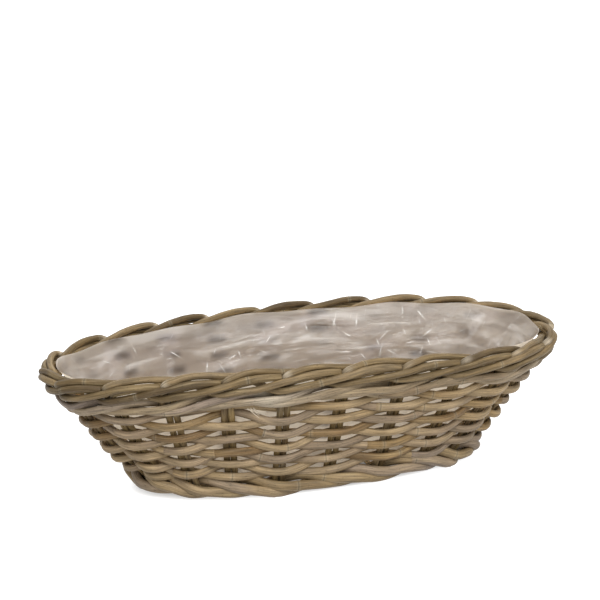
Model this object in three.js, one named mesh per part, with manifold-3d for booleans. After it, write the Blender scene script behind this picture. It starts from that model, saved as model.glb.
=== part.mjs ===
// Oval rattan basket planter with a film liner. Millimetres, +Z up, the long axis along X.
// Pairs of upright stakes stand round an oval base. Single strands are woven round them, two to a round,
// three strands together make the foot and the band under the rim, and a roped border closes the rim.
// Heights called level are measured up the middle of a long side, where the rim is highest.

import * as THREE from "three";
import { mergeVertices } from "three/addons/utils/BufferGeometryUtils.js";
import Module from "manifold-3d";

// Form of the wall, on the stakes' centre lines
const baseHalfLength = 180;
const baseHalfWidth = 58;
const baseExponent = 2.3;
const rimHalfLength = 289;
const rimHalfWidth = 121;
const rimExponent = 2.25;
const height = 158;
const endDrop = 11;
const endCrowding = 0.2;

// Stakes
const stakeCount = 22;
const stakeDiameter = 6.4;
const stakeFootGap = 3;

// Side weave
const weaveDiameter = 7.4;
const weaveRounds = 5;
const firstRoundLevel = 36;

// Band of three strands under the border, and the same at the foot
const bandDiameter = 7.4;
const footDiameter = 7.4;
const footFlatDepth = 0.5;

// Roped border
const borderDiameter = 8.2;
const borderHalfThickness = 5.6;
const borderHalfHeight = 8;

// Base mat of cross sticks and long rods
const crossStickDiameter = 5.4;
const crossStickCount = 7;
const longRodDiameter = 5;
const longRodCount = 7;
const longRodPitch = 13.2;
const baseMatRise = 3;

// Film liner
const linerThickness = 0.6;
const linerTopBelowRim = 22;

// Clearances between pieces that touch on the real basket
const clearance = 0.3;
const bendAllowance = 1.1;
const crowdAllowance = 8;
const stickEndGap = 0.8;
const stakeTopGap = 0.9;
const weaveBandGap = 0.704636;

// Counts of faces
const strandSides = 5;
const borderSides = 6;
const stickSides = 6;
const stepsPerStake = 2;
const borderStepsPerStake = 3;

// Ropes and bands of three strands turn once in three stakes
const ropeStrands = 3;

// Sizes that follow from the ones above
const pentagonFlat = Math.cos(Math.PI / strandSides);
const pentagonReach = Math.sin((2 * Math.PI) / strandSides);
const sideLean = Math.atan((rimHalfWidth - baseHalfWidth) / height);
const weaveRadius = weaveDiameter / 2;
const bandRadius = bandDiameter / 2;
const footRadius = footDiameter / 2;
const borderRadius = borderDiameter / 2;
const stakeRadius = stakeDiameter / 2;
const weaveOffset = stakeRadius + weaveRadius + clearance + bendAllowance;
const bandOffset = stakeRadius + bandRadius + clearance + bendAllowance;
const footOffset = stakeRadius + footRadius + clearance + bendAllowance;
const bandRise = 2 * bandRadius * pentagonReach + clearance;
const footRise = 2 * footRadius * pentagonReach + clearance;
const borderReach = borderHalfHeight + borderRadius;
const borderLevel = height - borderReach * Math.cos(sideLean);
const bandReach = bandRise + bandRadius * pentagonReach;
const bandLevel = borderLevel - (borderReach + bandReach + clearance) * Math.cos(sideLean);
const weaveReach = weaveRadius * pentagonReach;
const weaveTopLevel = bandLevel - (bandReach + weaveReach + weaveBandGap) * Math.cos(sideLean);
const roundPitch = (weaveTopLevel - firstRoundLevel) / (weaveRounds - 0.5);
const footReach = footRise + footRadius * pentagonReach;
const footLevel = footReach * Math.cos(sideLean) - footFlatDepth;
const dropLevel = bandLevel - bandReach;
const baseMatLift = crossStickDiameter / 2 + longRodDiameter / 2 + clearance;
const baseMatLevel = baseMatRise + baseMatLift + longRodDiameter / 2;
const linerFloorLevel = baseMatLevel + baseMatLift + longRodDiameter / 2 + clearance;
const linerOffset = Math.max(weaveOffset, bandOffset, footOffset)
  + Math.max(weaveRadius, bandRadius, footRadius) * pentagonFlat + clearance;

// Point of a unit oval at an angle: both coordinates run from -1 to 1
function unitOval(angle, exponent) {
  const across = Math.cos(angle);
  const along = Math.sin(angle);
  return {
    x: Math.sign(across) * Math.abs(across) ** (2 / exponent),
    y: Math.sign(along) * Math.abs(along) ** (2 / exponent),
  };
}

// Angles and lengths round the rim
const ovalSamples = 4096;
const ovalAngles = [];
const ovalLengths = [0];
{
  let last = unitOval(0, rimExponent);
  for (let i = 0; i <= ovalSamples; i += 1) {
    const angle = (2 * Math.PI * i) / ovalSamples;
    const here = unitOval(angle, rimExponent);
    const step = Math.hypot((here.x - last.x) * rimHalfLength, (here.y - last.y) * rimHalfWidth);
    ovalAngles.push(angle);
    if (i > 0) ovalLengths.push(ovalLengths[i - 1] + step);
    last = here;
  }
}

// Distance between stakes round the rim
const stakeSpacing = ovalLengths[ovalSamples] / stakeCount;

// Unit ovals of the rim and the base at a place counted in stakes. Stake 0 stands half a step from the +X end,
// counter-clockwise. The stakes' tops are evenly spaced, and their feet crowd towards the two ends
function ovalsAtStake(stake) {
  const turn = (((stake + 0.5) / stakeCount) % 1 + 1) % 1;
  const length = turn * ovalLengths[ovalSamples];
  let low = 0;
  let high = ovalSamples;
  while (high - low > 1) {
    const middle = (low + high) >> 1;
    if (ovalLengths[middle] > length) high = middle;
    else low = middle;
  }
  const part = (length - ovalLengths[low]) / (ovalLengths[high] - ovalLengths[low]);
  const angle = ovalAngles[low] + part * (ovalAngles[high] - ovalAngles[low]);
  return {
    rim: unitOval(angle, rimExponent),
    base: unitOval(angle - endCrowding * Math.sin(2 * angle), baseExponent),
  };
}

// Point on the wall's middle surface at a height z, on the straight line of the stake
function wallPointAtHeight(stake, z) {
  const { rim, base } = ovalsAtStake(stake);
  const share = z / (height - endDrop * rim.x ** 2);
  const top = new THREE.Vector3(rimHalfLength * rim.x, rimHalfWidth * rim.y, 0);
  return new THREE.Vector3(baseHalfLength * base.x, baseHalfWidth * base.y, 0).lerp(top, share).setZ(z);
}

// Point on the wall's middle surface at a level, which sinks towards the two ends with the rim
function wallPoint(stake, level) {
  const { rim } = ovalsAtStake(stake);
  const drop = endDrop * rim.x ** 2 * Math.min(1, level / dropLevel);
  return wallPointAtHeight(stake, level - drop);
}

// Directions of the wall at a place: along the round, out of the wall, and up the stake
function wallFrame(stake, level) {
  const nearby = 0.05;
  const up = wallPointAtHeight(stake, height).sub(wallPointAtHeight(stake, 0)).normalize();
  const along = wallPoint(stake + nearby, level).sub(wallPoint(stake - nearby, level));
  along.addScaledVector(up, -along.dot(up)).normalize();
  const out = new THREE.Vector3().crossVectors(along, up);
  return { along, out, up };
}

// Point of the wall moved out by offset and up the stake by rise
function wallOffset(stake, level, offset, rise) {
  const frame = wallFrame(stake, level);
  return wallPoint(stake, level).addScaledVector(frame.out, offset).addScaledVector(frame.up, rise);
}

// Distance of a strand from the wall's middle: larger where the stakes crowd and it bends round them sharply
function reachAt(stake, level, reach) {
  const spacing = wallPoint(stake - 0.5, level).distanceTo(wallPoint(stake + 0.5, level));
  return reach + crowdAllowance * Math.max(0, 1 - spacing / stakeSpacing) ** 2;
}

// Closed geometry from rings of points, capped at both ends
function loft(rings) {
  const sides = rings[0].length;
  const positions = rings.flatMap((ring) => ring.flatMap((point) => point.toArray()));
  const indices = [];
  for (let i = 0; i < rings.length - 1; i += 1) {
    for (let j = 0; j < sides; j += 1) {
      const k = (j + 1) % sides;
      const a = i * sides + j;
      const b = i * sides + k;
      const c = (i + 1) * sides + k;
      const d = (i + 1) * sides + j;
      indices.push(a, d, b, b, d, c);
    }
  }
  const end = (rings.length - 1) * sides;
  for (let j = 1; j < sides - 1; j += 1) {
    indices.push(0, j, j + 1);
    indices.push(end, end + j + 1, end + j);
  }
  const geometry = new THREE.BufferGeometry();
  geometry.setAttribute("position", new THREE.Float32BufferAttribute(positions, 3));
  geometry.setIndex(indices);
  return geometry;
}

// Ring of points round a centre, from the direction across to the direction upward
function ringRound(centre, radius, sides, across, upward) {
  const ring = [];
  for (let j = 0; j < sides; j += 1) {
    const angle = (2 * Math.PI * j) / sides;
    const point = centre.clone().addScaledVector(across, radius * Math.cos(angle));
    ring.push(point.addScaledVector(upward, radius * Math.sin(angle)));
  }
  return ring;
}

// Strand once round the wall, whose end butts against its start. route gives its rise, and its side from -1 inside
// to 1 outside. Where the wall turns it stands further out in front of a stake, to clear the stake's edges
function strandGeometry(level, radius, sides, steps, reach, route) {
  const rings = [];
  const count = stakeCount * steps;
  for (let i = 0; i <= count; i += 1) {
    const stake = i / steps - (i === count ? clearance / stakeSpacing : 0);
    const frame = wallFrame(stake, level);
    const { side, rise } = route(stake);
    const turn = frame.along.angleTo(wallFrame(stake + 1 / steps, level).along);
    const bend = side > 0 ? stakeDiameter * Math.tan(turn / 2) : 0;
    const centre = wallOffset(stake, level, side * reachAt(stake, level, reach) + bend, rise);
    rings.push(ringRound(centre, radius, sides, frame.out, frame.up));
  }
  return loft(rings);
}

// Woven strand: level all the way, in front of one stake and behind the next
function wovenRoute(shift) {
  return (stake) => ({ side: Math.cos(Math.PI * (stake + shift)), rise: 0 });
}

// Band strand: in front of two stakes and behind the third, rising as it goes, or falling where slant is -1
function bandRoute(shift, rise, slant) {
  const places = [0, 0.5, 1, 1.5, 2, 2.5, 3];
  const ways = [1, 1, 1, 0, -1, 0, 1];
  const rises = [-rise / 2, 0, rise / 2, rise, 0, -rise, -rise / 2];
  return (stake) => {
    const place = (((stake + shift) % ropeStrands) + ropeStrands) % ropeStrands;
    const i = Math.min(places.length - 2, Math.floor(place * 2));
    const part = (place - places[i]) * 2;
    return {
      side: ways[i] + part * (ways[i + 1] - ways[i]),
      rise: slant * (rises[i] + part * (rises[i + 1] - rises[i])),
    };
  };
}

// Border strand: over the top, down the inside, under and up the outside, once in three stakes
function borderRoute(shift) {
  return (stake) => {
    const angle = (2 * Math.PI * (stake + shift)) / ropeStrands;
    return { side: Math.cos(angle), rise: borderHalfHeight * Math.sin(angle) };
  };
}

const wasm = await Module();
wasm.setup();

// Solid of a closed geometry, for cutting
function toSolid(geometry) {
  return new wasm.Manifold(new wasm.Mesh({
    numProp: 3,
    vertProperties: new Float32Array(geometry.attributes.position.array),
    triVerts: new Uint32Array(geometry.index.array),
  }));
}

// Geometry cut off flat at the ground
function cutAtGround(geometry) {
  const block = new THREE.BoxGeometry(4 * rimHalfLength, 4 * rimHalfWidth, height);
  block.translate(0, 0, -height / 2);
  block.deleteAttribute("normal");
  block.deleteAttribute("uv");
  const cut = toSolid(geometry).subtract(toSolid(mergeVertices(block))).getMesh();
  const result = new THREE.BufferGeometry();
  result.setAttribute("position", new THREE.BufferAttribute(new Float32Array(cut.vertProperties), 3));
  result.setIndex(Array.from(cut.triVerts));
  return result;
}

const basket = new THREE.Group();

function rattan(colour) {
  return new THREE.MeshStandardMaterial({ color: colour, roughness: 0.75, metalness: 0 });
}

function addPiece(name, geometry, material) {
  const mesh = new THREE.Mesh(geometry, material);
  mesh.name = name;
  basket.add(mesh);
  return mesh;
}

function numbered(name, index) {
  return `${name}_${String(index + 1).padStart(2, "0")}`;
}

// Stake pairs: two round rods side by side, pushed down through the foot and up to the border
{
  const middle = stakeRadius - clearance;
  const waist = stakeRadius / 2;
  const outline = [];
  for (const degrees of [240, 300, 360, 420, 480]) {
    const angle = THREE.MathUtils.degToRad(degrees);
    outline.push(new THREE.Vector2(middle + stakeRadius * Math.cos(angle), stakeRadius * Math.sin(angle)));
  }
  outline.push(new THREE.Vector2(0, waist));
  for (const degrees of [60, 120, 180, 240, 300]) {
    const angle = THREE.MathUtils.degToRad(degrees);
    outline.push(new THREE.Vector2(-middle + stakeRadius * Math.cos(angle), stakeRadius * Math.sin(angle)));
  }
  outline.push(new THREE.Vector2(0, -waist));
  const section = new THREE.Shape(outline);
  for (let stake = 0; stake < stakeCount; stake += 1) {
    const { along, out, up } = wallFrame(stake, borderLevel);
    const foot = wallPointAtHeight(stake, stakeFootGap);
    const top = wallPoint(stake, borderLevel).addScaledVector(up, -borderReach - stakeTopGap);
    const geometry = new THREE.ExtrudeGeometry(section, { depth: top.distanceTo(foot), bevelEnabled: false });
    const mesh = addPiece(numbered("stake_pair", stake), geometry, rattan(0x7d6b4f));
    mesh.setRotationFromMatrix(new THREE.Matrix4().makeBasis(along, out.negate(), up));
    mesh.position.copy(foot);
  }
}

// Foot: three strands woven round the stakes at the bottom, cut flat where the basket stands
for (let strand = 0; strand < ropeStrands; strand += 1) {
  const route = bandRoute(strand, footRise, -1);
  const whole = strandGeometry(footLevel, footRadius, strandSides, stepsPerStake, footOffset, route);
  addPiece(numbered("foot_strand", strand), cutAtGround(whole), rattan(0x8c7a60));
}

// Single strand between the foot and the side weave, half a pitch below the first round
{
  const level = firstRoundLevel - roundPitch / 2;
  const geometry = strandGeometry(level, weaveRadius, strandSides, stepsPerStake, weaveOffset, wovenRoute(0));
  addPiece("foot_top_strand", geometry, rattan(0x8c7a60));
}

// Side weave: rounds of two strands, the second half a pitch above the first and in front of the stakes it passes behind
for (let round = 0; round < weaveRounds; round += 1) {
  for (let strand = 0; strand < 2; strand += 1) {
    const level = firstRoundLevel + (round + strand / 2) * roundPitch;
    const route = wovenRoute(strand + 1);
    const geometry = strandGeometry(level, weaveRadius, strandSides, stepsPerStake, weaveOffset, route);
    addPiece(`${numbered("weave_round", round)}_${"ab"[strand]}`, geometry, rattan(0xa08c6a));
  }
}

// Band of three strands under the border
for (let strand = 0; strand < ropeStrands; strand += 1) {
  const route = bandRoute(strand, bandRise, 1);
  const geometry = strandGeometry(bandLevel, bandRadius, strandSides, stepsPerStake, bandOffset, route);
  addPiece(numbered("rim_band_strand", strand), geometry, rattan(0x998a78));
}

// Border: three strands roped along the rim
for (let strand = 0; strand < ropeStrands; strand += 1) {
  const route = borderRoute(strand);
  const geometry = strandGeometry(borderLevel, borderRadius, borderSides, borderStepsPerStake, borderHalfThickness, route);
  addPiece(numbered("border_strand", strand), geometry, rattan(0x917c5b));
}

// Base mat: cross sticks butt against the foot strand behind a stake on each side
const upward = new THREE.Vector3(0, 0, 1);
const middleStake = Math.round(stakeCount * 0.75 - 0.5);
const crossSticks = [];
for (let i = 0; i < crossStickCount; i += 1) {
  const stake = middleStake + i - (crossStickCount - 1) / 2;
  const { out } = wallFrame(stake, footLevel);
  const radius = crossStickDiameter / 2;
  const footInside = reachAt(stake, footLevel, footOffset) + footRadius * pentagonFlat;
  const inner = wallOffset(stake, footLevel, -footInside - stickEndGap, 0);
  const halfLength = -inner.y - radius * Math.abs(out.x / out.y);
  crossSticks.push(inner.x);
  const across = new THREE.Vector3(1, 0, 0);
  const rings = [-halfLength, halfLength].map((y) => (
    ringRound(new THREE.Vector3(inner.x, y, baseMatLevel), radius, stickSides, across, upward)
  ));
  addPiece(numbered("base_cross_stick", i), loft(rings), rattan(0x85735a));
}

// How far a long rod at a distance from the long axis reaches before it meets the foot
function longRodReach(distance) {
  let low = middleStake;
  let high = stakeCount - 0.5;
  while (high - low > clearance / stakeSpacing) {
    const stake = (low + high) / 2;
    if (-wallOffset(stake, 0, -reachAt(stake, 0, linerOffset), 0).y > distance) low = stake;
    else high = stake;
  }
  return wallOffset(low, 0, -reachAt(low, 0, linerOffset), 0).x;
}

// Base mat: long rods pass over and under the cross sticks
for (let i = 0; i < longRodCount; i += 1) {
  const radius = longRodDiameter / 2;
  const y = (i - (longRodCount - 1) / 2) * longRodPitch;
  const reach = longRodReach(Math.abs(y) + radius + clearance);
  const crossed = [];
  crossSticks.forEach((x, j) => {
    const side = (i + j) % 2 ? 1 : -1;
    if (Math.abs(x) < reach - longRodDiameter) crossed.push({ x, z: baseMatLevel + side * baseMatLift });
  });
  const ends = [{ x: -reach, z: crossed[0].z }, { x: reach, z: crossed[crossed.length - 1].z }];
  const across = new THREE.Vector3(0, -1, 0);
  const rings = [ends[0], ...crossed, ends[1]].map(({ x, z }) => (
    ringRound(new THREE.Vector3(x, y, z), radius, strandSides, across, upward)
  ));
  addPiece(numbered("base_long_rod", i), loft(rings), rattan(0x8e7c62));
}

// Film liner: a thin bag that lies on the base mat and against the weave, open at the top
{
  const ringInside = (reach, heightAt) => {
    const ring = [];
    for (let i = 0; i < stakeCount * stepsPerStake; i += 1) {
      const stake = -i / stepsPerStake;
      const { out } = wallFrame(stake, bandLevel);
      const offset = reachAt(stake, heightAt(stake), reach);
      ring.push(wallPointAtHeight(stake, heightAt(stake) + offset * out.z).addScaledVector(out, -offset));
    }
    return ring;
  };
  const innerOffset = linerOffset + linerThickness;
  const topHeight = (stake) => wallPoint(stake, height - linerTopBelowRim).z;
  const rings = [
    ringInside(linerOffset, () => linerFloorLevel),
    ringInside(linerOffset, topHeight),
    ringInside(innerOffset, topHeight),
    ringInside(innerOffset, () => linerFloorLevel + linerThickness),
  ];
  const film = new THREE.MeshStandardMaterial({ color: 0xc9c4bc, roughness: 0.3, metalness: 0 });
  addPiece("film_liner", loft(rings), film);
}

export default basket;
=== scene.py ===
import bpy
import numpy as np
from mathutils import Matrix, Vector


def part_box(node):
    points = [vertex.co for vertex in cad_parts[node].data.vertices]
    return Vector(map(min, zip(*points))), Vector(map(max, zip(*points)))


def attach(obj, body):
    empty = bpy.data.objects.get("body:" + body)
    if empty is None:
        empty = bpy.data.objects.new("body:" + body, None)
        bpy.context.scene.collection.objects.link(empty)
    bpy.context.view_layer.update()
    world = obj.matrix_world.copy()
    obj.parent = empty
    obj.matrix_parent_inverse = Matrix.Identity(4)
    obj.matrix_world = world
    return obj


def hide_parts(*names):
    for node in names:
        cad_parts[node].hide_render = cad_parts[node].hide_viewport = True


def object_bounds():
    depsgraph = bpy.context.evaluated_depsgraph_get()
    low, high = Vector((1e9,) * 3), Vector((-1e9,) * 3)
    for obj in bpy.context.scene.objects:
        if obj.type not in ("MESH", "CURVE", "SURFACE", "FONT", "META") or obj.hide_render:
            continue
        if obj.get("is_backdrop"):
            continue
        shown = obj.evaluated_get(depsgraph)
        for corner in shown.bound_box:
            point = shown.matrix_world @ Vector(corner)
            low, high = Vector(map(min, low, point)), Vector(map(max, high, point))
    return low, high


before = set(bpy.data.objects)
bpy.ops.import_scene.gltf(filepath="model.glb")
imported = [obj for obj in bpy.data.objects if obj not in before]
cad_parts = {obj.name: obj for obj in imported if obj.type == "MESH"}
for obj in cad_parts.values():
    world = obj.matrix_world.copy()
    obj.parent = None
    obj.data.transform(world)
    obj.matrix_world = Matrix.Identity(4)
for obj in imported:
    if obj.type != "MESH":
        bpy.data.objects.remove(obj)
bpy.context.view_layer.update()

# Base mat
# Seven short cross sticks and seven long rods of round rattan, laced over and under one another.
# The mat lies inside the foot ring, and its ends butt against the foot's inner strands.
# Like every other piece, it is placed on a wall ruled between an oval base and a larger oval rim.
base_half_length = 0.180
base_half_width = 0.058
base_exponent = 2.3
rim_half_length = 0.289
rim_half_width = 0.121
rim_exponent = 2.25
height = 0.158
end_drop = 0.011
end_drop_level = 0.116
end_crowding = 0.2
left_lift = 0.0105
left_lift_level = 0.06
rim_lean = (-0.0021, -0.0020)
rim_twist = 0.0037
rim_wave = (0.0013, 0.0017)
# Each dip of the rim has its middle and its spread as angles, and its depth.
rim_dips = [(2.0, 0.4, 0.0024), (0.33, 0.25, 0.0034)]
stake_count = 22
# Where the stakes stand further on: the middle and the spread of the place, and how far, all in stakes.
stake_shifts = [(19.5, 2.2, 0.4), (5.5, 3.2, 0.3), (9.0, 1.5, 0.3)]
stake_nudge = 0.05


def unit_oval(angle, exponent):
    """Superellipse of half axes 1: cosine and sine, each to the power 2 / exponent, with its sign."""
    across = np.cos(angle)
    along = np.sin(angle)
    x = np.sign(across) * np.abs(across) ** (2 / exponent)
    y = np.sign(along) * np.abs(along) ** (2 / exponent)
    return x, y


oval_samples = 4097
oval_angles = np.linspace(0, 2 * np.pi, oval_samples)
rim_x, rim_y = unit_oval(oval_angles, rim_exponent)
rim_steps = np.hypot(np.diff(rim_x) * rim_half_length, np.diff(rim_y) * rim_half_width)
rim_lengths = np.concatenate([[0], np.cumsum(rim_steps)])
stake_spacing = rim_lengths[-1] / stake_count


def bell(away, spread):
    """Bell curve: 1 in the middle, and a little over a third at the spread from it."""
    return np.exp(-(away / spread) ** 2)


def stake_angle(stake):
    """Angle of a place counted in stakes: equal steps round the rim, stake 0 half a step from the +X end.
    Round three places the stakes stand a little further on, as they were set out by eye."""
    stake = np.asarray(stake, float)
    set_out = stake
    for middle, spread, further in stake_shifts:
        away = (stake - middle + stake_count / 2) % stake_count - stake_count / 2
        set_out = set_out + further * bell(away, spread)
    turn = ((set_out + 0.5) / stake_count) % 1
    return np.interp(turn * rim_lengths[-1], rim_lengths, oval_angles)


def unevenness(angle):
    """How far the hand-made rim stands above or below its even height: the first three waves round the
    oval, less the dips."""
    uneven = rim_lean[0] * np.cos(angle) + rim_lean[1] * np.sin(angle) + rim_twist * np.sin(2 * angle)
    uneven = uneven + rim_wave[0] * np.cos(3 * angle) + rim_wave[1] * np.sin(3 * angle)
    for middle, spread, depth in rim_dips:
        uneven = uneven - depth * bell(angle - middle, spread)
    return uneven


def wall_at_height(stake, z):
    """Point on the wall's middle: the straight line from the base oval to the rim oval, at the height z.
    The foot of the left end stands a little off the floor, as the base has sprung up there."""
    angle = stake_angle(stake)
    top_x, top_y = unit_oval(angle, rim_exponent)
    foot_x, foot_y = unit_oval(angle - end_crowding * np.sin(2 * angle), base_exponent)
    share = z / (height - end_drop * top_x ** 2)
    x = (1 - share) * base_half_length * foot_x + share * rim_half_length * top_x
    y = (1 - share) * base_half_width * foot_y + share * rim_half_width * top_y
    lift = left_lift * np.maximum(0, -foot_x) ** 4 * np.maximum(0, 1 - z / left_lift_level)
    return np.stack([x, y, z + unevenness(angle) * (z / height) ** 2 + lift], -1)


def wall_point(stake, level):
    """Point on the wall's middle at a level, which sinks towards the two ends with the rim."""
    top_x = unit_oval(stake_angle(stake), rim_exponent)[0]
    return wall_at_height(stake, level - end_drop * top_x ** 2 * np.minimum(1, level / end_drop_level))


def unit(vectors):
    """Vectors divided by their lengths."""
    return vectors / np.linalg.norm(vectors, axis=-1, keepdims=True)


def wall_axes(stake, level):
    """Directions out of the wall and up the stake: up is the stake's line, and out is square to it and to
    the way round."""
    up = unit(wall_at_height(stake, 0.9 * height) - wall_at_height(stake, 0.1 * height))
    along = wall_point(stake + stake_nudge, level) - wall_point(stake - stake_nudge, level)
    return unit(np.cross(along, up)), up


def wall_offset(stake, level, offset, rise):
    """Point of the wall moved out by offset and up the stake by rise."""
    out, up = wall_axes(stake, level)
    moved = out * np.asarray(offset)[..., None] + up * np.asarray(rise)[..., None]
    return wall_point(stake, level) + moved


def crowding(stake, level):
    """How far the stakes stand closer together than at the rim, from 0 to 1, squared."""
    step = wall_point(stake + 0.5, level) - wall_point(stake - 0.5, level)
    return np.maximum(0, 1 - np.linalg.norm(step, axis=-1) / stake_spacing) ** 2


def walked_length(path):
    """Length of the path up to each of its points."""
    return np.concatenate([[0], np.cumsum(np.linalg.norm(np.diff(path, axis=0), axis=1))])


def wander(place, seed, wave):
    """Smooth irregular values near -1 to 1 along a line: four cosines of random phase, the longest of
    length wave."""
    phases = np.random.default_rng(seed).uniform(0, 2 * np.pi, 4)
    total = 0 * place
    for rate, weight, phase in zip((1, 1.7, 2.9, 4.3), (1, 0.7, 0.5, 0.3), phases):
        total = total + weight * np.cos(2 * np.pi * place * rate / wave + phase)
    return total / 1.6


def softened(line, width, mode):
    """Line softened by a bell window of that many steps, going on past its ends as the mode says."""
    window = np.hanning(width + 2)[1:-1]
    return np.convolve(np.pad(line, width // 2, mode=mode), window / window.sum(), mode="valid")


def grid_corners(rows, columns):
    """Row and column of the four corners of each face of a grid whose last column joins its first."""
    row, column = np.meshgrid(np.arange(rows - 1), np.arange(columns), indexing="ij")
    corner_rows = np.stack([row, row, row + 1, row + 1], -1).reshape(-1, 4)
    corner_columns = np.stack([column, column + 1, column + 1, column], -1).reshape(-1, 4)
    return corner_rows, corner_columns


rod_step = 0.0024
rod_bevel = 0.0004
rod_end_share = 0.82
rod_unevenness = 0.05
rod_uneven_wave = 0.11
node_ring_pitch = 0.17
node_ring_shift = 0.618
node_ring_swell = 0.07
node_ring_width = 0.0022


def rod(path, out, radius, seed, tone, flat=0.0, sides=14, peel_and_highlight=None):
    """Skin of a rattan rod: a ring across the path at each even step, with one axis out of the wall and
    the other square to it. flat makes the rings thinner outward and taller. The radius wanders, and
    swells at the node rings, which come at a steady pitch. The ends are bevelled and closed by fans.
    peel_and_highlight, from 0 to 1 along the path, is how far the skin is cracked or peeled, and at the
    border's elbows it also carries a painted highlight."""
    given = walked_length(path)
    peel_and_highlight = np.zeros(len(path)) if peel_and_highlight is None else peel_and_highlight
    places = np.linspace(0, given[-1], max(4, int(given[-1] / rod_step)) + 1)
    path = np.stack([np.interp(places, given, path[:, axis]) for axis in range(3)], -1)
    out = unit(np.stack([np.interp(places, given, out[:, axis]) for axis in range(3)], -1))
    peel_and_highlight = np.interp(places, given, peel_and_highlight)
    tangent = unit(np.gradient(path, axis=0))
    length = walked_length(path)
    ring_turn = (length / node_ring_pitch + seed * node_ring_shift + 0.5) % 1
    to_ring = np.abs(ring_turn - 0.5) * node_ring_pitch
    swelling = node_ring_swell * bell(to_ring, node_ring_width)
    thickness = radius * (1 + rod_unevenness * wander(length, seed, rod_uneven_wave) + swelling)
    first = [path[0], path[0] + tangent[0] * rod_bevel]
    last = [path[-1] - tangent[-1] * rod_bevel, path[-1]]
    path = np.concatenate([first, path[1:-1], last])
    tangent = np.concatenate([tangent[:1], tangent, tangent[-1:]])
    out = np.concatenate([out[:1], out, out[-1:]])
    length = np.concatenate([length[:1], length, length[-1:]])
    thickness = np.concatenate([thickness[:1] * rod_end_share, thickness, thickness[-1:] * rod_end_share])
    peel_and_highlight = np.concatenate([peel_and_highlight[:1], peel_and_highlight, peel_and_highlight[-1:]])
    across = unit(out - (out * tangent).sum(1, keepdims=True) * tangent)
    upward = np.cross(tangent, across)
    angle = np.linspace(0, 2 * np.pi, sides, endpoint=False)
    wide = thickness[:, None] * (1 - flat) * np.cos(angle)
    tall = thickness[:, None] * (1 + flat) * np.sin(angle)
    rings = path[:, None] + across[:, None] * wide[..., None] + upward[:, None] * tall[..., None]
    points = np.concatenate([rings.reshape(-1, 3), path[:1], path[-1:]])
    count = len(path)
    ring, side = grid_corners(count, sides)
    round_length = 2 * np.pi * radius
    corner = np.arange(sides)
    follow = (corner + 1) % sides
    end = (count - 1) * sides
    start_fan = np.stack([np.full(sides, count * sides), follow, corner], -1)
    end_fan = np.stack([np.full(sides, count * sides + 1), end + corner, end + follow], -1)
    fan_uv = np.full((2 * sides, 3, 2), round_length / 2)
    fan_uv[:sides, :, 1] = 0.0
    fan_uv[sides:, :, 1] = length[-1]
    return {
        "points": points,
        "quads": ring * sides + side % sides,
        "quad_uv": np.stack([side / sides * round_length, length[ring]], -1),
        "fans": np.concatenate([start_fan, end_fan]),
        "fan_uv": fan_uv,
        "seed": np.full(len(points), seed),
        "tone": np.full(len(points), tone),
        "peel_and_highlight": np.concatenate([np.repeat(peel_and_highlight, sides), peel_and_highlight[:1], peel_and_highlight[-1:]]),
    }


def add_piece(name, points, quads, triangles, uv, values, material):
    """One object at the origin: its points, its faces of four and of three corners, texture coordinates
    at their corners, and named values at the points."""
    corners = np.concatenate([quads.ravel(), triangles.ravel()])
    starts = np.concatenate([np.arange(len(quads)) * 4, len(quads) * 4 + np.arange(len(triangles)) * 3])
    mesh = bpy.data.meshes.new(name)
    mesh.vertices.add(len(points))
    mesh.vertices.foreach_set("co", points.astype(np.float32).ravel())
    mesh.loops.add(len(corners))
    mesh.loops.foreach_set("vertex_index", corners.astype(np.int32))
    mesh.polygons.add(len(starts))
    mesh.polygons.foreach_set("loop_start", starts.astype(np.int32))
    mesh.update(calc_edges=True)
    mesh.uv_layers.new(name="skin").uv.foreach_set("vector", uv.astype(np.float32).ravel())
    for key, value in values.items():
        attribute = mesh.attributes.new(key, "FLOAT", "POINT")
        attribute.data.foreach_set("value", value.astype(np.float32))
    mesh.shade_smooth()
    mesh.materials.append(material)
    piece = bpy.data.objects.new(name, mesh)
    bpy.context.scene.collection.objects.link(piece)
    return piece


def add_rods(name, rods, material, nodes):
    """One piece of several closed rods, in place of the given nodes."""
    starts = np.cumsum([0] + [len(one["points"]) for one in rods])
    points = np.concatenate([one["points"] for one in rods])
    quads = np.concatenate([one["quads"] + start for one, start in zip(rods, starts)])
    fans = np.concatenate([one["fans"] + start for one, start in zip(rods, starts)])
    quad_uv = np.concatenate([one["quad_uv"].reshape(-1, 2) for one in rods])
    fan_uv = np.concatenate([one["fan_uv"].reshape(-1, 2) for one in rods])
    values = {key: np.concatenate([one[key] for one in rods]) for key in ("tone", "seed", "peel_and_highlight")}
    piece = add_piece(name, points, quads, fans, np.concatenate([quad_uv, fan_uv]), values, material)
    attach(piece, "root")
    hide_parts(*nodes)


def linear(hex_colour):
    """Linear light of an sRGB colour written as six hex digits, with full opacity."""
    parts = np.array([int(hex_colour[i:i + 2], 16) for i in (0, 2, 4)]) / 255
    light = np.where(parts <= 0.04045, parts / 12.92, ((parts + 0.055) / 1.055) ** 2.4)
    return (*light.tolist(), 1.0)


def add_node(owner, kind, inputs, output=0, **settings):
    """Adds a shader node with its settings, and gives one of its outputs. An input is a value, or the
    output that it is linked from."""
    node = owner.node_tree.nodes.new("ShaderNode" + kind)
    for key, value in settings.items():
        setattr(node, key, value)
    for socket, source in inputs.items():
        if isinstance(source, bpy.types.NodeSocket):
            owner.node_tree.links.new(source, node.inputs[socket])
        else:
            node.inputs[socket].default_value = source
    return node.outputs[output] if len(node.outputs) else None


def new_material(name):
    """A material with no nodes yet."""
    material = bpy.data.materials.new(name)
    material.use_nodes = True
    material.node_tree.nodes.clear()
    return material


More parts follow.
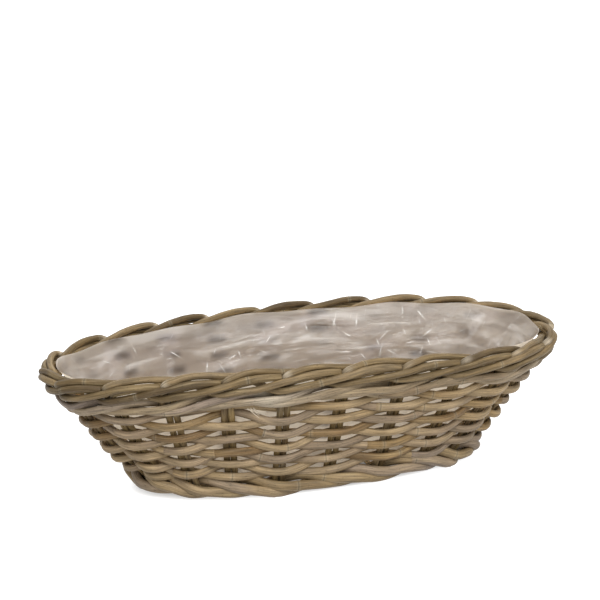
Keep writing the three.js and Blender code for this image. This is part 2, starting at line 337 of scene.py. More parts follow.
def grain(material, width, length, detail):
    """Noise along a rod's skin, with grains of that width and length in metres, other on every rod."""
    skin = add_node(material, "UVMap", {}, uv_map="skin")
    seed = add_node(material, "Attribute", {}, "Fac", attribute_name="seed")
    sizes = (1 / width, 1 / length, 0.0)
    place = add_node(material, "VectorMath", {0: skin, 1: sizes, 2: seed}, operation="MULTIPLY_ADD")
    return add_node(material, "TexNoise", {"Vector": place, "Scale": 1.0, "Detail": detail})


def rattan(name, tones):
    """Unpeeled rattan, dulled by weather: each rod takes a tone from a row of browns, which drifts along
    it and is blotched with dark and pale. Fibres run along it. Real ones are under 0.3 mm wide, and are
    drawn coarser to show. A node ring is a dark line between pale edges. Cracked or peeled skin is pale,
    and so is the painted highlight on the border's elbows."""
    material = new_material(name)
    tone = add_node(material, "Attribute", {}, "Fac", attribute_name="tone")
    slow = grain(material, 0.05, 0.09, 2.0)
    drift = add_node(material, "MapRange", {0: slow, 1: 0.3, 2: 0.7, 3: -0.28, 4: 0.28})
    place = add_node(material, "Math", {0: tone, 1: drift}, operation="ADD")
    colour = add_node(material, "ValToRGB", {0: place})
    stops = colour.node.color_ramp.elements
    for index, tone_colour in enumerate(tones):
        position = index / (len(tones) - 1)
        stop = stops[index] if index < 2 else stops.new(position)
        stop.position = position
        stop.color = linear(tone_colour)
    seed = add_node(material, "Attribute", {}, "Fac", attribute_name="seed")
    along = add_node(material, "SeparateXYZ", {0: add_node(material, "UVMap", {}, uv_map="skin")}, "Y")
    shift = {0: seed, 1: node_ring_shift * node_ring_pitch, 2: along}
    shifted = add_node(material, "Math", shift, operation="MULTIPLY_ADD")
    to_ring = add_node(material, "Math", {0: shifted, 1: node_ring_pitch / 2}, operation="PINGPONG")
    peeled_and_highlit = add_node(material, "Attribute", {}, "Fac", attribute_name="peel_and_highlight")
    # Dark blotches, pale blotches, the pale edges of a node ring, and cracked or peeled skin together
    # with the painted highlight on the border's elbows.
    for value, low, high, at_low, at_high, blotch in (
        (grain(material, 0.005, 0.022, 4.0), 0.5, 0.72, 0.0, 0.55, "6F6049"),
        (grain(material, 0.004, 0.05, 3.0), 0.55, 0.75, 0.0, 0.4, "B8A47C"),
        (to_ring, 0.001, 0.003, 0.16, 0.0, "C9BDA2"),
        (peeled_and_highlit, 0.0, 1.0, 0.0, 1.0, "C6B9A4"),
    ):
        share = add_node(material, "MapRange", {0: value, 1: low, 2: high, 3: at_low, 4: at_high})
        colour = add_node(material, "Mix", {0: share, 6: colour, 7: linear(blotch)}, 2, data_type="RGBA")
    # Fine fibres, broad fibres, short dark cracks, and the dark line of a node ring.
    fibre = grain(material, 0.0009, 0.025, 3.0)
    for value, low, high, at_low, at_high in (
        (fibre, 0.3, 0.7, 0.56, 1.24),
        (grain(material, 0.0024, 0.05, 2.0), 0.36, 0.64, 0.82, 1.16),
        (grain(material, 0.0011, 0.0032, 2.0), 0.6, 0.72, 1.0, 0.5),
        (to_ring, 0.0003, 0.0009, 0.58, 1.0),
    ):
        shade = add_node(material, "MapRange", {0: value, 1: low, 2: high, 3: at_low, 4: at_high})
        colour = add_node(material, "VectorMath", {0: colour, 1: shade}, operation="MULTIPLY")
    bump = add_node(material, "Bump", {"Strength": 0.7, "Distance": 0.0004, "Height": fibre})
    skin = {"Base Color": colour, "Roughness": 0.55, "Specular IOR Level": 0.22, "Normal": bump}
    add_node(material, "OutputMaterial", {0: add_node(material, "BsdfPrincipled", skin)})
    return material


# Rattan that lies dry under the film: to the eye pale and even.
mat_rattan = rattan("mat_rattan", ["94805E", "A59070", "AB987C"])
cross_stick_count = 7
cross_stick_radius = 0.0027
cross_stick_end_gap = 0.001
cross_stick_seed = 200
long_rod_count = 7
long_rod_radius = 0.0025
long_rod_pitch = 0.0132
long_rod_end = 0.005
long_rod_seed = 220
lacing_softness = 29
mat_level = 0.0109
mat_lift = 0.0054
middle_stake = 16
foot_level = 0.0140
foot_inside = 0.0135
foot_crowding = 0.008
first_stake = middle_stake - (cross_stick_count - 1) // 2
cross_stakes = np.arange(first_stake, first_stake + cross_stick_count).astype(float)
cross_inside = -foot_inside - foot_crowding * crowding(cross_stakes, foot_level)
cross_ends = wall_offset(cross_stakes, foot_level, cross_inside, 0 * cross_stakes)
cross_places = cross_ends[:, 0]
for index in range(cross_stick_count):
    half = -cross_ends[index, 1] - cross_stick_end_gap
    y = np.linspace(-half, half, 40)
    path = np.stack([0 * y + cross_places[index], y, 0 * y + mat_level], -1)
    straight_up = np.zeros_like(path) + [0.0, 0.0, 1.0]
    stick = rod(path, straight_up, cross_stick_radius, cross_stick_seed + index, 0.3 + 0.1 * (index % 5))
    node = f"base_cross_stick_{index + 1:02d}"
    add_rods(f"mat_cross_stick_{index + 1}", [stick], mat_rattan, [node])
for index in range(long_rod_count):
    node = f"base_long_rod_{index + 1:02d}"
    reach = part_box(node)[1][0]
    crossed = np.abs(cross_places) < reach - long_rod_end
    over = np.where((index + np.arange(cross_stick_count)) % 2, 1.0, -1.0)
    x = np.linspace(-reach, reach, 240)
    z = np.interp(x, cross_places[crossed], mat_level + mat_lift * over[crossed])
    z = softened(z, lacing_softness, "edge")
    y = 0 * x + (index - (long_rod_count - 1) / 2) * long_rod_pitch
    path = np.stack([x, y, z], -1)
    straight_up = np.zeros_like(path) + [0.0, 0.0, 1.0]
    long_rod = rod(path, straight_up, long_rod_radius, long_rod_seed + index, 0.2 + 0.12 * (index % 6))
    add_rods(f"mat_long_rod_{index + 1}", [long_rod], mat_rattan, [node])

# Stakes
# Twenty-two pairs of round rattan rods, side by side, that every other strand is woven round.
# They are pushed down through the foot, lean out with the wall, and end behind the band under the rim.
# Their rattan is given a darker tone than the weave's as painted shade, so the gaps between the strands
# look deep.
stake_rattan = rattan("stake_rattan", ["6A563A", "7A6643", "88724B", "837154"])
stake_radius = 0.0029
stake_flatness = 0.22
stake_pair_gap = 0.0003
stake_crowded_share = 0.15
stake_lean = 0.0004
stake_bow = 0.0003
stake_foot = 0.003
stake_top_level = 0.131
stake_steps = 60
stake_lean_seed = 300
stake_bow_seed = 400
stake_tone_seed = 500
stake_levels = np.linspace(stake_foot, stake_top_level, stake_steps)
for index in range(stake_count):
    places = np.full(stake_steps, float(index))
    line = wall_point(places, stake_levels)
    out, up = wall_axes(places, stake_levels)
    beside = np.cross(up, out)
    between = wall_point(places + 0.5, stake_levels) - wall_point(places - 0.5, stake_levels)
    room = np.linalg.norm(between, axis=1)
    half_pair = stake_radius * (1 + stake_flatness) + stake_pair_gap / 2
    apart = np.minimum(half_pair, stake_crowded_share * room)
    pair = []
    for way in (-1, 1):
        seed = 2 * index + (way + 1) // 2 + 1
        lean = way * apart + stake_lean * wander(stake_levels, stake_lean_seed + seed, 0.12)
        bow = stake_bow * wander(stake_levels, stake_bow_seed + seed, 0.15)
        path = line + beside * lean[:, None] + out * bow[:, None]
        tone = np.random.default_rng(stake_tone_seed + seed).uniform(0.1, 0.9)
        pair.append(rod(path, out, stake_radius, seed, tone, stake_flatness, sides=16))
    node = f"stake_pair_{index + 1:02d}"
    add_rods(f"stake_rods_{index + 1}", pair, stake_rattan, [node])

# Foot
# Three strands of thick rattan woven together round the bottom of the stakes, each in front of two stakes
# and behind the third. They slant down as they go round, and the lowest of them stand on the floor.
# Their rattan runs from a middle brown to a greyer one, from rod to rod.
foot_rattan = rattan("foot_rattan", ["7E694D", "927D5B", "A08A69", "99866F", "8B7B6A"])
foot_radius = 0.0056
foot_flatness = 0.1
foot_reach = 0.0084
foot_rise = 0.0095
foot_sway = 0.002
foot_lengths = 3
foot_seed = 40
foot_bulge = 0.002
foot_bulge_stake = 14.2
foot_bulge_spread = 0.7
crowd_reach = 0.003
strand_in_and_out = 0.0007
strand_up_and_down = 0.0015
steps_per_stake = 24
turn_softness = 17
length_overlap = 3
round_places = np.arange(stake_count * steps_per_stake) / steps_per_stake


def walked_route(shift, slant):
    """Side and rise round the wall of a strand that passes in front of two stakes and behind the third:
    straight lines between keyed places, softened by a window that goes on round the oval."""
    place = (round_places + shift) % 3
    side = np.interp(place, [0, 1, 1.5, 2, 2.5, 3], [1, 1, 0, -1, 0, 1])
    rise = slant * np.interp(place, [0, 0.5, 1, 1.5, 2, 2.5, 3], [-0.5, 0, 0.5, 1, 0, -1, -0.5])
    return [softened(keyed, turn_softness, "wrap") for keyed in (side, rise)]


def strand_rods(level, reach, radius, side, rise, seed, lengths, flat, peel_and_highlight=0 * round_places):
    """Rods that follow one another round the wall on a route of side and rise, meeting behind stakes or
    just past. side is 1 in front of the stakes and -1 behind them, by the reach, and both wander a
    little."""
    offset = side * (reach + crowd_reach * crowding(round_places, level))
    offset = offset + strand_in_and_out * wander(round_places, seed + 1, 5.0)
    lift = rise + strand_up_and_down * wander(round_places, seed + 2, 4.0)
    path = wall_offset(round_places, level, offset, lift)
    out = wall_axes(round_places, level)[0]
    behind = np.flatnonzero((side < np.roll(side, 1)) & (side <= np.roll(side, -1)) & (side < -0.5))
    chosen = np.linspace(0, len(behind), lengths, endpoint=False).astype(int) + seed * 3 // 10
    cuts = np.sort(behind[chosen % len(behind)])
    cuts = cuts + steps_per_stake * 5 // 8 * ((np.arange(lengths) + seed // 10) % 3 == 0)
    rods = []
    for part, start in enumerate(cuts):
        stop = cuts[(part + 1) % lengths] + (len(path) if part == lengths - 1 else 0)
        order = np.arange(start, stop + length_overlap) % len(path)
        tone = np.random.default_rng(seed + 30 * part).uniform(0.05, 0.95)
        thick = radius * np.random.default_rng(seed + 31 * part).uniform(0.92, 1.06)
        rods.append(rod(path[order], out[order], thick, seed + part, tone, flat, peel_and_highlight=peel_and_highlight[order]))
    return rods


bulge = foot_bulge * bell(round_places - foot_bulge_stake, foot_bulge_spread)
for index in range(3):
    side, rise = walked_route(index, -1)
    reach = foot_reach + bulge * (side > 0)
    lift = rise * foot_rise + foot_sway * np.cos(np.pi * round_places)
    seed = foot_seed + 10 * index
    rods = strand_rods(foot_level, reach, foot_radius, side, lift, seed, foot_lengths, foot_flatness)
    for one in rods:
        one["points"][:, 2] = np.maximum(one["points"][:, 2], 0.0)
    node = f"foot_strand_{index + 1:02d}"
    add_rods(f"foot_rope_{index + 1}", rods, foot_rattan, [node])

# Side weave
# Single strands of round rattan, two to a round, each in front of one stake and behind the next. The
# first lies on the foot. Each is pieced from several rods, whose ends meet behind stakes or just past.
# Their rattan runs from a golden brown to a grey-brown, from rod to rod.
weave_rattan = rattan("weave_rattan", ["806746", "907751", "9F8763", "A79170", "9A856B", "8D7B65"])
weave_radius = 0.0042
weave_flatness = 0.12
weave_reach = 0.0058
weave_strands = 10
weave_lengths = 7
weave_seed = 80
first_round_level = 0.0364
round_pitch = 0.0167
loose_stake = 14
loose_sway = 0.005
loose_spread = 0.6
row_sway = loose_sway * bell(round_places - loose_stake, loose_spread)
row_sway = row_sway - loose_sway * bell(round_places - loose_stake - 1, loose_spread)
for index in range(-1, weave_strands):
    side = np.cos(np.pi * (round_places + index + 1))
    if index == weave_strands - 1:
        side = np.where(np.abs(round_places - loose_stake) < 1, -1.0, side)
    level = first_round_level + 0.5 * index * round_pitch
    seed = weave_seed + 10 * index
    route = (level, weave_reach, weave_radius, side, row_sway)
    rods = strand_rods(*route, seed, weave_lengths, weave_flatness)
    if index < 0:
        add_rods("foot_top_rods", rods, foot_rattan, ["foot_top_strand"])
    else:
        number = index // 2 + 1
        letter = "ab"[index % 2]
        node = f"weave_round_{number:02d}_{letter}"
        add_rods(f"woven_{number}_{letter}", rods, weave_rattan, [node])

# Rim band
# Three flatter rattan strands woven together under the border, each in front of two stakes and behind the
# third. They rise as they go round and hold the stakes' tops. One place is peeled, with loose fibres.
# Their rattan is greyer than the weave's, and looks more weathered.
band_rattan = rattan("band_rattan", ["857157", "968367", "A39177", "9B8A79", "8E7E71"])
band_radius = 0.0038
band_flatness = 0.28
band_reach = 0.0062
band_rise = 0.0066
band_sway = 0.003
band_level = 0.1262
band_lengths = 4
band_seed = 1040
fibre_radius = 0.0004
fibre_start = 14.33
fibre_length = 0.20
fibre_spacing = 0.05
fibre_top = -0.005
fibre_drop = 0.012
fibre_offset = 0.0092
fibre_curl = 0.004
fibre_shortening = 0.004
fibre_seed = 1100
# Each peeled place has its middle and its spread in stakes, and how far the skin is off.
peeled_places = [(14.68, 0.3, 0.78), (15.3, 0.4, 0.22)]
peeled_patch = 0 * round_places
for middle, spread, share in peeled_places:
    peeled_patch = peeled_patch + share * bell(round_places - middle, spread)
for index in range(3):
    along = np.linspace(0, 1, 16)
    places = fibre_start + fibre_spacing * index + (fibre_length - fibre_spacing * index) * along
    hang = fibre_top - (fibre_drop - fibre_shortening * index) * along ** 1.5
    path = wall_offset(places, band_level, fibre_offset + fibre_curl * np.sin(2.4 * along), hang)
    out = wall_axes(places, band_level)[0]
    fibre = rod(path, out, fibre_radius, fibre_seed + index, 0.9, sides=6, peel_and_highlight=0 * along + 0.9)
    side, rise = walked_route(index, 1)
    lift = rise * band_rise + band_sway * np.cos(np.pi * round_places)
    seed = band_seed + 10 * index
    route = (band_level, band_reach, band_radius, side, lift)
    rods = strand_rods(*route, seed, band_lengths, band_flatness, peeled_patch)
    node = f"rim_band_strand_{index + 1:02d}"
    add_rods(f"rim_band_{index + 1}", rods + [fibre], band_rattan, [node])

# Border
# The ends of the stakes, bent over to the right in turn: over the top, inside the next elbow, down and
# out below it, up the outside past two stakes, and tucked behind an elbow again. A shorter end fills in
# under each. Their rattan is the darkest, an olive brown that sets the rim off from the wall.
border_rattan = rattan("border_rattan", ["584831", "69573A", "786546", "826E4F", "75654C"])
border_radius = 0.0036
border_level = 0.1458
bend_softness = 15
bend_steps_per_stake = 170
bend_in_and_out = 0.0006
bend_up_and_down = 0.0007
bend_wave = 3.0
elbow_place = 0.02
elbow_spread = 0.05
over_seed = 600
under_seed = 900
# Each key is a place in stakes, an offset out of the wall in mm and a rise in mm.
over_keys = [
    (-0.14, -0.5, -28), (-0.08, -0.5, -12), (-0.03, 0.5, 0.5), (0.01, 1.8, 5.5), (0.06, 2.4, 8.0),
    (0.15, 1.5, 9.2), (0.30, -1.5, 9.6), (0.50, -4.0, 9.0), (0.75, -5.6, 7.0), (0.95, -6.3, 4.6),
    (1.15, -7.0, 2.5), (1.35, -7.2, -1.5), (1.55, -5.0, -7.0), (1.72, 0.0, -11.0), (1.87, 4.5, -11.0),
    (2.00, 6.6, -9.5), (2.50, 7.0, -4.6), (3.00, 6.8, 2.5), (3.25, 5.2, 6.0), (3.50, 4.0, 7.0),
    (3.75, 2.0, 5.2), (3.91, 0.3, 2.0),
]
under_keys = [
    (-0.05, -0.5, -28), (0.01, -0.5, -14), (0.06, 0.5, -6.5), (0.15, 2.0, -2.5), (0.50, 2.0, 2.0),
    (0.78, 0.0, 1.8), (1.00, -6.0, 0.0), (1.20, -7.5, -3.0), (1.40, -7.5, -7.0),
]


def bent_over(index, keys, seed):
    """A stake's end bent along the border: offset and rise run in lines between the keys, softened by a
    window. The elbow is pale, partly from cracked skin and partly as a painted highlight."""
    key_places, key_offsets, key_rises = np.array(keys).T
    steps = int(bend_steps_per_stake * (key_places[-1] - key_places[0]))
    places = np.linspace(key_places[0], key_places[-1], steps)
    offset, rise = [
        0.001 * softened(np.interp(places, key_places, keyed), bend_softness, "edge")
        for keyed in (key_offsets, key_rises)
    ]
    offset = offset + bend_in_and_out * wander(places, seed + 20, bend_wave)
    rise = rise + bend_up_and_down * wander(places, seed + 60, bend_wave)
    path = wall_offset(index + places, border_level, offset, rise)
    out = wall_axes(index + places, border_level)[0]
    chance = np.random.default_rng(seed)
    # Painted highlight: the elbow is made pale, together with its cracked skin.
    elbow = chance.uniform(0.2, 0.7) * bell(places - elbow_place, elbow_spread)
    radius = border_radius * chance.uniform(0.94, 1.06)
    return rod(path, out, radius, seed, chance.uniform(0.05, 0.95), sides=16, peel_and_highlight=elbow)


for index in range(stake_count):
    over = bent_over(index, over_keys, over_seed + index)
    under = bent_over(index, under_keys, under_seed + index)
    nodes = [f"border_strand_{index + 1:02d}"] if index < 3 else []
    add_rods(f"border_rods_{index + 1}", [over, under], border_rattan, nodes)

# Film liner
# One piece of thin clear polythene laid in the basket as a bag: over the base mat, up the inside of the
# weave, with its edge tucked under the border. It is creased all over from having been folded.
liner_offset = 0.0125
liner_foot_offset = 0.004
liner_foot_top = 0.055
liner_foot_slope = 0.02
liner_floor = 0.0197
liner_top_level = 0.1475
liner_front_drop = 0.003
liner_raggedness = 0.0009
liner_tuck = 0.035
liner_tuck_clearance = 0.004
liner_floor_crown = 0.003
liner_axes_level = 0.03
liner_crowding_level = 0.02
liner_thickness = 0.0002
liner_columns = 440
liner_floor_rows = 30
liner_wall_rows = 66
# Sizes of the flat sheet: its way round, where its wall starts and how long that is, and how far from
# them the floor is laid out, so that no part of the pattern is shared.
liner_round = 1.05
liner_wall_start = 0.0625
liner_wall_length = 0.1375
apart_on_sheet = 2.0


def chance_height(i, j, seed):
    """Values from 0 to 1 that look random, one for each pair of whole numbers: the fraction of a large
    sine."""
    mixed = np.sin(i * 127.1 + j * 311.7 + seed * 74.7) * 43758.5453
    return mixed - np.floor(mixed)


def facets(x, y, size, seed):
    """Creased heights from 0 to 1: random heights on a triangle lattice of that cell size, joined by flat
    facets."""
    skew = (x + y) * 0.366 / size
    column = x / size + skew
    row = y / size + skew
    i = np.floor(column).astype(int)
    j = np.floor(row).astype(int)
    larger = np.maximum(column - i, row - j)
    smaller = np.minimum(column - i, row - j)
    near = chance_height(i, j, seed)
    right = chance_height(i + 1, j, seed)
    above = chance_height(i, j + 1, seed)
    side = np.where(column - i > row - j, right, above)
    far = chance_height(i + 1, j + 1, seed)
    return near * (1 - larger) + side * (larger - smaller) + far * smaller


def creases(x, y):
    """Height of the folds at a place on the flat film: large, middle and small facets on a slightly bent
    lattice."""
    bent_x = x + 0.008 * np.sin(y * 60 + 3 * np.sin(x * 21))
    bent_y = y + 0.008 * np.sin(x * 53 + 2 * np.sin(y * 37))
    large = 0.0030 * facets(bent_x, bent_y, 0.055, 1)
    middle = 0.0022 * facets(bent_y * 1.3, bent_x, 0.026, 2)
    small = 0.0013 * facets(bent_x, bent_y * 0.8, 0.012, 3)
    return large + middle + small


# The floor of the bag: rings shrinking to the middle, creased upward, flat where it turns up.
column_places = np.arange(liner_columns) / liner_columns * stake_count
out = wall_axes(column_places, liner_axes_level)[0]
edge = wall_at_height(column_places, np.full(liner_columns, liner_floor))
edge_crowding = crowd_reach * crowding(column_places, liner_crowding_level)
edge_inside = liner_offset + liner_foot_offset + edge_crowding
edge = edge - out * edge_inside[:, None]
floor_share = (np.arange(liner_floor_rows)[:, None] + 1) / liner_floor_rows
floor_x = edge[:, 0] * floor_share
floor_y = edge[:, 1] * floor_share
floor_fold = creases(floor_x + apart_on_sheet, floor_y + apart_on_sheet)
floor_fold = floor_fold * np.clip((1 - floor_share) * 6, 0, 1)
floor_points = np.stack([floor_x, floor_y, liner_floor + floor_fold], -1)

# The wall of the bag: rings up the inside of the weave to a ragged edge, creased inward.
turn = column_places * 2 * np.pi / stake_count
ragged_edge = liner_raggedness * (np.sin(5 * turn) + np.sin(9 * turn + 1) + np.sin(16 * turn + 2))
front_drop = liner_front_drop * np.maximum(0, -np.sin(stake_angle(column_places)))
wall_share = (np.arange(liner_wall_rows)[:, None] + 1) / liner_wall_rows
level = liner_floor + (liner_top_level - front_drop + ragged_edge - liner_floor) * wall_share
wall_places = column_places + 0 * level
near_foot = np.clip((liner_foot_top - level) / liner_foot_slope, 0, 1)
reach = liner_offset + liner_foot_offset * near_foot + crowd_reach * crowding(wall_places, level)
wall_points = wall_offset(wall_places, level, -reach, 0 * reach)
out = wall_axes(wall_places, level)[0]
sheet_x = wall_places / stake_count * liner_round
sheet_y = liner_wall_start + liner_wall_length * wall_share + 0 * level
below_border = liner_top_level + liner_tuck_clearance - wall_points[..., 2]
tucked = np.clip(below_border / liner_tuck, 0.2, 1) * np.clip(wall_share * 10, 0, 1)
wall_points = wall_points - out * (creases(sheet_x, sheet_y) * tucked)[..., None]

# Faces of both, with places on the flat sheet as texture coordinates.
middle = [[0.0, 0.0, liner_floor + liner_floor_crown]]
points = np.concatenate([floor_points.reshape(-1, 3), wall_points.reshape(-1, 3), middle])
corners = grid_corners(liner_floor_rows + liner_wall_rows, liner_columns)
row, column = [indices[:, ::-1] for indices in corners]
quads = row * liner_columns + column % liner_columns
around = np.arange(liner_columns)
fan = np.stack([around, (around + 1) % liner_columns, np.full(liner_columns, len(points) - 1)], -1)
corner_x = column / liner_columns * liner_round
corner_y = liner_wall_start + liner_wall_length * (row + 1 - liner_floor_rows) / liner_wall_rows
on_floor = row.max(1) < liner_floor_rows
floor_uv = points[quads][..., :2] + apart_on_sheet
quad_uv = np.where(on_floor[:, None, None], floor_uv, np.stack([corner_x, corner_y], -1))
fan_uv = points[fan][..., :2] + apart_on_sheet
sheet_uv = np.concatenate([quad_uv.reshape(-1, 2), fan_uv.reshape(-1, 2)])

# Painted shade: where a strand passes behind a stake, the film is painted grey-brown, as if the shaded
# rattan behind it showed through.
shade_patch_width = 0.19
from_stake = column_places - np.round(column_places)
parity = np.cos(np.pi * np.round(column_places))
round_turn = 2 * np.pi * (wall_points[..., 2] - first_round_level) / round_pitch
strand_behind = 0.5 - 0.5 * parity * np.cos(round_turn)
patchy = np.clip(2.4 * facets(sheet_x, sheet_y, 0.045, 5) - 0.45, 0.08, 1)
on_long_side = np.clip(2.2 * np.abs(np.sin(stake_angle(column_places))) - 0.7, 0.15, 1)
wall_painted_shade = np.exp(-(from_stake / shade_patch_width) ** 4) * strand_behind ** 2 * patchy * on_long_side
painted_shade = np.concatenate([np.zeros(floor_fold.size), wall_painted_shade.ravel(), [0.0]])

# Polythene film, blown and then folded: milky and glossy, with hazy patches. Its colour has painted shade
# and sheen of the creases, as grey bands and milky streaks, and painted glints, as thin white lines along
# sharp folds.
polythene = new_material("polythene_film")
sheet_place = add_node(polythene, "UVMap", {}, uv_map="skin")


def painted_fold_glints(cell):
    """Strength of painted glints: short straight lines where sharp folds catch the light, at most one in
    each cell of that size in metres, at chance angles, thinner to their ends. Real fold lines are under
    0.3 mm wide, and these are drawn wider to show."""
    place = add_node(polythene, "Mapping", {"Vector": sheet_place, "Scale": (1 / cell, 1 / cell, 1.0)})
    pattern = {"Vector": place, "Scale": 1.0}
    cells = add_node(polythene, "TexVoronoi", pattern, voronoi_dimensions="2D").node
    chances = add_node(polythene, "SeparateColor", {0: cells.outputs["Color"]}).node
    ends = {0: place, 1: cells.outputs["Position"]}
    from_middle = add_node(polythene, "VectorMath", ends, operation="SUBTRACT")
    angle = add_node(polythene, "Math", {0: chances.outputs[0], 1: np.pi}, operation="MULTIPLY")
    spin = {"Vector": from_middle, "Angle": angle}
    turned = add_node(polythene, "VectorRotate", spin, rotation_type="Z_AXIS")
    apart = add_node(polythene, "VectorMath", {0: turned}, operation="ABSOLUTE")
    parts = add_node(polythene, "SeparateXYZ", {0: apart}).node
    narrowing = {0: parts.outputs[0], 1: 0.05, 2: parts.outputs[1]}
    taper = add_node(polythene, "Math", narrowing, operation="MULTIPLY_ADD")
    strength = add_node(polythene, "MapRange", {0: taper, 1: 0.012, 2: 0.045, 3: 1.0, 4: 0.0})
    for value, low, high, at_low, at_high in (
        (parts.outputs[0], 0.2, 0.5, 1.0, 0.0),
        (chances.outputs[1], 0.4, 0.8, 0.0, 1.0),
    ):
        share = add_node(polythene, "MapRange", {0: value, 1: low, 2: high, 3: at_low, 4: at_high})
        strength = add_node(polythene, "Math", {0: strength, 1: share}, operation="MULTIPLY")
    return strength


streak_length = 0.071
streak_width = 0.0133
streak_sizes = {"Vector": sheet_place, "Scale": (1 / streak_length, 1 / streak_width, 1.0)}
streak_place = add_node(polythene, "Mapping", streak_sizes)
streak_noise = {"Vector": streak_place, "Scale": 1.0, "Detail": 4.0, "Distortion": 0.5}
streak = add_node(polythene, "TexNoise", streak_noise)
haze_length = 0.042
haze_width = 0.033
haze_sizes = {"Vector": sheet_place, "Scale": (1 / haze_length, 1 / haze_width, 1.0)}
haze_place = add_node(polythene, "Mapping", haze_sizes)
haze_noise = {"Vector": haze_place, "Scale": 1.0, "Detail": 2.0, "Distortion": 0.6}
haze = add_node(polythene, "TexNoise", haze_noise)
# Painted glints on the sharp folds: lines of two sizes, gathered into clusters by the haze.
long_glint_cell = 0.021
short_glint_cell = 0.013
long_and_short = {0: painted_fold_glints(long_glint_cell), 1: painted_fold_glints(short_glint_cell)}
all_fold_glints = add_node(polythene, "Math", long_and_short, operation="MAXIMUM")
glint_clustering = add_node(polythene, "MapRange", {0: haze, 1: 0.44, 2: 0.6, 3: 0.1, 4: 1.0})
fold_glints = add_node(polythene, "Math", {0: all_fold_glints, 1: glint_clustering}, operation="MULTIPLY")
shade_patch = add_node(polythene, "Attribute", {}, "Fac", attribute_name="painted_shade")
# Painted shade as grey between the streaks, painted shade of the rattan behind as grey-brown patches,
# hazy patches, painted sheen as milky streaks, and painted glints as white lines on the folds.
colour = linear("C1BDB9")
for value, low, high, at_low, at_high, tint in (
    (streak, 0.35, 0.62, 0.75, 0.0, "989290"),
    (shade_patch, 0.0, 1.0, 0.0, 0.85, "6A5F57"),
    (haze, 0.54, 0.7, 0.0, 0.6, "E4DEE0"),
    (streak, 0.53, 0.66, 0.0, 0.4, "EAE6E4"),
    (fold_glints, 0.0, 1.0, 0.0, 0.9, "FAF8F5"),
):
    share = add_node(polythene, "MapRange", {0: value, 1: low, 2: high, 3: at_low, 4: at_high})
    colour = add_node(polythene, "Mix", {0: share, 6: colour, 7: linear(tint)}, 2, data_type="RGBA")
relief = add_node(polythene, "Math", {0: haze, 1: 0.4, 2: streak}, operation="MULTIPLY_ADD")
bump = add_node(polythene, "Bump", {"Strength": 0.7, "Distance": 0.003, "Height": relief})
surface = {"Base Color": colour, "Roughness": 0.14, "Specular IOR Level": 0.75, "Normal": bump}
gloss = add_node(polythene, "BsdfPrincipled", surface)
# Painted shade: the light that passes through the film is greyer where the painted shade patches are.
shaded = {0: shade_patch, 6: linear("FAF1E2"), 7: linear("C2B8AB")}
passed = add_node(polythene, "Mix", shaded, 2, data_type="RGBA")
through = add_node(polythene, "BsdfTranslucent", {"Color": passed})
# Painted sheen and glints: the milky streaks and the glints let less light through, so that their pale
# colour shows.
sheen_streak = add_node(polythene, "MapRange", {0: streak, 1: 0.53, 2: 0.66, 3: 0.0, 4: 0.24})
opaque = add_node(polythene, "Math", {0: fold_glints, 1: sheen_streak}, operation="MAXIMUM")
through_share = add_node(polythene, "MapRange", {0: opaque, 1: 0.0, 2: 1.0, 3: 0.68, 4: 0.1})
milky = add_node(polythene, "MixShader", {0: through_share, 1: gloss, 2: through})
clear_share = add_node(polythene, "MapRange", {0: fold_glints, 1: 0.0, 2: 1.0, 3: 0.18, 4: 0.0})
clear = add_node(polythene, "BsdfTransparent", {})
film = add_node(polythene, "MixShader", {0: clear_share, 1: milky, 2: clear})
add_node(polythene, "OutputMaterial", {0: film})
bag = add_piece("film_bag", points, quads, fan, sheet_uv, {"painted_shade": painted_shade}, polythene)
wall = bag.modifiers.new("film_thickness", "SOLIDIFY")
wall.thickness = liner_thickness
wall.offset = 0.0
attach(bag, "root")
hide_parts("film_liner")

# Stage
# A white floor and background, a soft light from above the front, weaker ones from above and behind, and
# an even sky. The floor is as bright as the background where the camera or a reflection sees it, and
# plain under the basket.
floor_half = 6
floor_corners = [(-floor_half, -floor_half, 0), (floor_half, -floor_half, 0)]
floor_corners = floor_corners + [(floor_half, floor_half, 0), (-floor_half, floor_half, 0)]
floor_mesh = bpy.data.meshes.new("floor")
floor_mesh.from_pydata(floor_corners, [], [(0, 1, 2, 3)])
floor = bpy.data.objects.new("floor", floor_mesh)
bpy.context.scene.collection.objects.link(floor)
world = bpy.data.worlds.new("white_room")
world.use_nodes = True
world.node_tree.nodes.clear()
bpy.context.scene.world = world


def background_ray(owner):
    """1 on rays from the camera, off gloss or through clear film, and 0 on others."""
    rays = add_node(owner, "LightPath", {}).node
    seen = rays.outputs["Is Camera Ray"]
    for kind in ("Is Glossy Ray", "Is Transmission Ray"):
        seen = add_node(owner, "Math", {0: seen, 1: rays.outputs[kind]}, operation="MAXIMUM")
    return seen


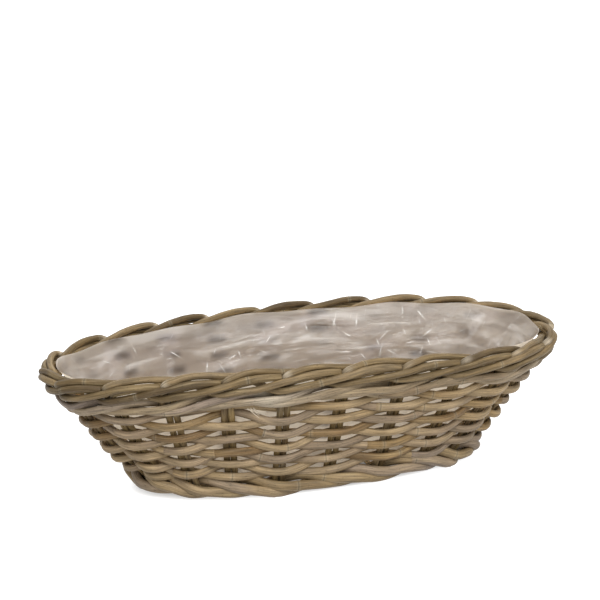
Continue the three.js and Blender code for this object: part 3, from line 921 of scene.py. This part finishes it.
# Matt white board mixed with a glow, which is strong where the camera sees it beyond the basket: the
# floor melts into the background, and only the contact shadow stays grey.
white = new_material("white_floor")
shaded_half_length = 0.185
shaded_half_width = 0.062
floor_place = add_node(white, "TexCoord", {}, "Object")
shaded_oval = {"Vector": floor_place, "Scale": (1 / shaded_half_length, 1 / shaded_half_width, 1.0)}
under_basket = add_node(white, "Mapping", shaded_oval)
away = add_node(white, "VectorMath", {0: under_basket}, "Value", operation="LENGTH")
beyond = add_node(white, "MapRange", {0: away, 1: 0.9, 2: 1.1, 3: 0.0, 4: 1.0})
bright = add_node(white, "Math", {0: background_ray(white), 1: beyond}, operation="MULTIPLY")
glow_strength = add_node(white, "MapRange", {0: bright, 1: 0.0, 2: 1.0, 3: 0.2, 4: 1.8})
matt = add_node(white, "BsdfDiffuse", {"Color": linear("FFFFFF")})
glow = add_node(white, "Emission", {"Color": linear("FFFFFF"), "Strength": glow_strength})
board = add_node(white, "MixShader", {0: 0.5, 1: matt, 2: glow})
add_node(white, "OutputMaterial", {0: board})
floor_mesh.materials.append(white)
floor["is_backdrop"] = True
sky_strength = add_node(world, "MapRange", {0: background_ray(world), 1: 0.0, 2: 1.0, 3: 0.5, 4: 1.0})
sky = add_node(world, "Background", {"Color": linear("FFFFFF"), "Strength": sky_strength})
add_node(world, "OutputWorld", {0: sky})
lamp_width = 1.6
lamp_depth = 1.2
for name, power, place, turn in (
    ("soft_box", 46, (0.05, -1.5, 1.7), (0.72, 0.08, 0.0)),
    ("ceiling_light", 9, (0.0, 0.25, 1.7), (0.0, 0.0, 0.0)),
    ("back_light", 7, (0.0, 1.6, 1.2), (-0.93, 0.0, 0.0)),
):
    lamp = bpy.data.lights.new(name, "AREA")
    lamp.shape = "RECTANGLE"
    lamp.size = lamp_width
    lamp.size_y = lamp_depth
    lamp.energy = power
    lamp_object = bpy.data.objects.new(name, lamp)
    lamp_object.location = place
    lamp_object.rotation_euler = turn
    bpy.context.scene.collection.objects.link(lamp_object)

# Camera
# A long lens from the front, a little to the left of the middle and above the rim.
# Its place, lens and shift bring the basket's outline onto the photo's.
camera = bpy.data.cameras.new("camera")
camera.lens = 95.18
camera.sensor_width = 36.0
camera.shift_x = -0.0123
camera.shift_y = 0.1721
camera_object = bpy.data.objects.new("camera", camera)
azimuth = np.radians(-18.4)
elevation = np.radians(20.84)
distance = 1.741
aim = np.array([0.0, 0.0, 0.075])
level_part = np.cos(elevation)
back = np.array([np.sin(azimuth) * level_part, -np.cos(azimuth) * level_part, np.sin(elevation)])
camera_object.location = aim + distance * back
camera_object.rotation_euler = (np.pi / 2 - elevation, 0.0, azimuth)
bpy.context.scene.collection.objects.link(camera_object)
bpy.context.scene.camera = camera_object
bpy.context.scene.view_settings.view_transform = "Standard"

low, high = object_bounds()
